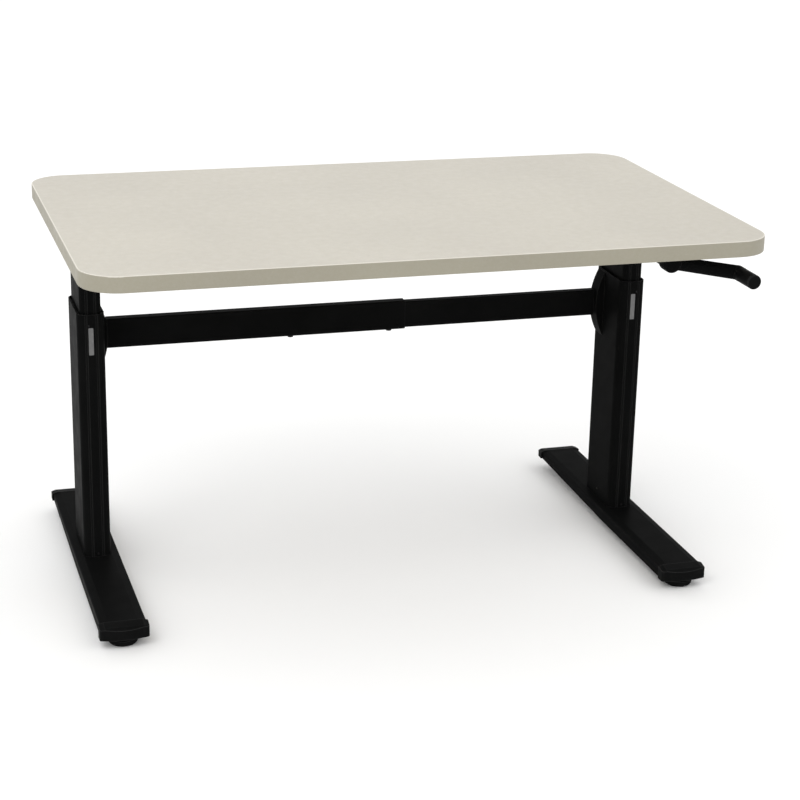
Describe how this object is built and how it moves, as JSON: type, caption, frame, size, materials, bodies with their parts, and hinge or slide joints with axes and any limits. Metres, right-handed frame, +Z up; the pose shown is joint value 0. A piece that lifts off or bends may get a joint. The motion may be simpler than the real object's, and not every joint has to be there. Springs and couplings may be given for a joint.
{
  "type": "height adjustable desk",
  "caption": "Hand-cranked height adjustable desk: pale laminate worktop with rounded corners on two black telescoping columns, a cross beam and long feet with levelling glides.",
  "frame": {"origin": "on the floor, under the middle of the whole desk, feet included", "axes": "+X to the user's right along the desk, +Y to the back, +Z up"},
  "size_m": [1.2192, 0.827, 0.717],
  "materials": {
    "laminate": "fine-textured light greige high-pressure laminate",
    "edge_band": "satin greige edge band",
    "particle_board": "raw particle board",
    "backing": "brown phenolic backing sheet",
    "black_steel": "satin black powder coat",
    "black_plastic": "moulded black plastic",
    "silver_label": "plain silver foil",
    "bronze": "machined bronze",
    "zinc_screw": "zinc plated",
    "black_screw": "black oxide",
    "bare_steel": "oiled steel"
  },
  "bodies": {
    "base": {"base_bolts": "zinc_screw", "beam_bracket_left": "black_steel", "beam_bracket_right": "black_steel", "beam_inner": "black_steel", "beam_lock_screws": "black_screw", "beam_outer": "black_steel", "column_bases": "bare_steel", "column_collar_left": "black_plastic", "column_collar_right": "black_plastic", "column_labels": "silver_label", "column_outer_left": "black_steel", "column_outer_right": "black_steel", "column_screws": "black_screw", "foot_cap_front_left": "black_plastic", "foot_cap_front_right": "black_plastic", "foot_cap_rear_left": "black_plastic", "foot_cap_rear_right": "black_plastic", "foot_left": "black_steel", "foot_right": "black_steel", "lead_nuts": "bronze", "nut_posts": "bare_steel"},
    "top": {"column_inner_left": "black_steel", "column_inner_right": "black_steel", "crank_gearbox": "black_steel", "crank_guide": "black_steel", "frame_rails": "black_steel", "gear_head_left": "black_steel", "gear_head_right": "black_steel", "guide_bush": "black_plastic", "screw_bearings": "bronze", "shaft_hangers": "black_steel", "slide_shoes": "black_plastic", "top_arm_left": "black_steel", "top_arm_right": "black_steel", "worktop_backing": "backing", "worktop_core": "particle_board", "worktop_edge_band": "edge_band", "worktop_laminate": "laminate", "worktop_screws": "zinc_screw"},
    "screw_left": {"lead_screw_left": "bare_steel", "screw_gear_left": "bare_steel"},
    "screw_right": {"lead_screw_right": "bare_steel", "screw_gear_right": "bare_steel"},
    "cross_shaft": {"cross_shaft": "bare_steel", "shaft_gear_left": "bare_steel", "shaft_gear_right": "bare_steel", "shaft_gear_input": "bare_steel"},
    "input_shaft": {"drive_tube": "bare_steel", "input_gear": "bare_steel"},
    "crank_slide": {"crank_sleeve": "black_plastic"},
    "crank": {"crank_rod": "bare_steel", "crank_arm": "black_steel", "grip_pin": "bare_steel"},
    "grip": {"crank_grip": "black_plastic", "grip_cap": "black_plastic"},
    "glide_front_left": {"glide_front_left": "black_plastic"},
    "glide_front_right": {"glide_front_right": "black_plastic"},
    "glide_rear_left": {"glide_rear_left": "black_plastic"},
    "glide_rear_right": {"glide_rear_right": "black_plastic"}
  },
  "joints": [
    {"name": "lift", "type": "slide", "parent": "base", "child": "top", "axis": [0, 0, 1], "range_m": [-0.055, 0.29]},
    {"name": "screw_left_turn", "type": "hinge", "parent": "top", "child": "screw_left", "pos_m": [-0.5374, 0.1045, 0.6676], "axis": [0, 0, 1], "range_deg": [-3961, 20881]},
    {"name": "screw_right_turn", "type": "hinge", "parent": "top", "child": "screw_right", "pos_m": [0.5374, 0.1045, 0.6676], "axis": [0, 0, 1], "range_deg": [-20881, 3961]},
    {"name": "cross_shaft_turn", "type": "hinge", "parent": "top", "child": "cross_shaft", "pos_m": [0, 0.1045, 0.6676], "axis": [1, 0, 0], "range_deg": [-3961, 20881]},
    {"name": "input_turn", "type": "hinge", "parent": "top", "child": "input_shaft", "pos_m": [0.437, 0, 0.6676], "axis": [0, 1, 0], "range_deg": [-20881, 3961]},
    {"name": "crank_pull", "type": "slide", "parent": "top", "child": "crank_slide", "axis": [0, -1, 0], "range_m": [0, 0.09]},
    {"name": "crank_swing", "type": "hinge", "parent": "crank_slide", "child": "crank", "pos_m": [0.437, -0.3445, 0.6676], "axis": [0, 1, 0], "range_deg": [0, 150]},
    {"name": "grip_spin", "type": "hinge", "parent": "crank", "child": "grip", "pos_m": [0.5705, -0.3825, 0.6411], "axis": [0, 1, 0], "continuous": true},
    {"name": "glide_front_left_out", "type": "slide", "parent": "base", "child": "glide_front_left", "axis": [0, 0, -1], "range_m": [0, 0.012]},
    {"name": "glide_front_right_out", "type": "slide", "parent": "base", "child": "glide_front_right", "axis": [0, 0, -1], "range_m": [0, 0.012]},
    {"name": "glide_rear_left_out", "type": "slide", "parent": "base", "child": "glide_rear_left", "axis": [0, 0, -1], "range_m": [0, 0.008]},
    {"name": "glide_rear_right_out", "type": "slide", "parent": "base", "child": "glide_rear_right", "axis": [0, 0, -1], "range_m": [0, 0.008]}
  ],
  "couplings": [
    {"joint": "screw_left_turn", "follows": "lift", "rad_per_m": 1256.6},
    {"joint": "screw_right_turn", "follows": "lift", "rad_per_m": -1256.6},
    {"joint": "cross_shaft_turn", "follows": "lift", "rad_per_m": 1256.6},
    {"joint": "input_turn", "follows": "lift", "rad_per_m": -1256.6}
  ]
}
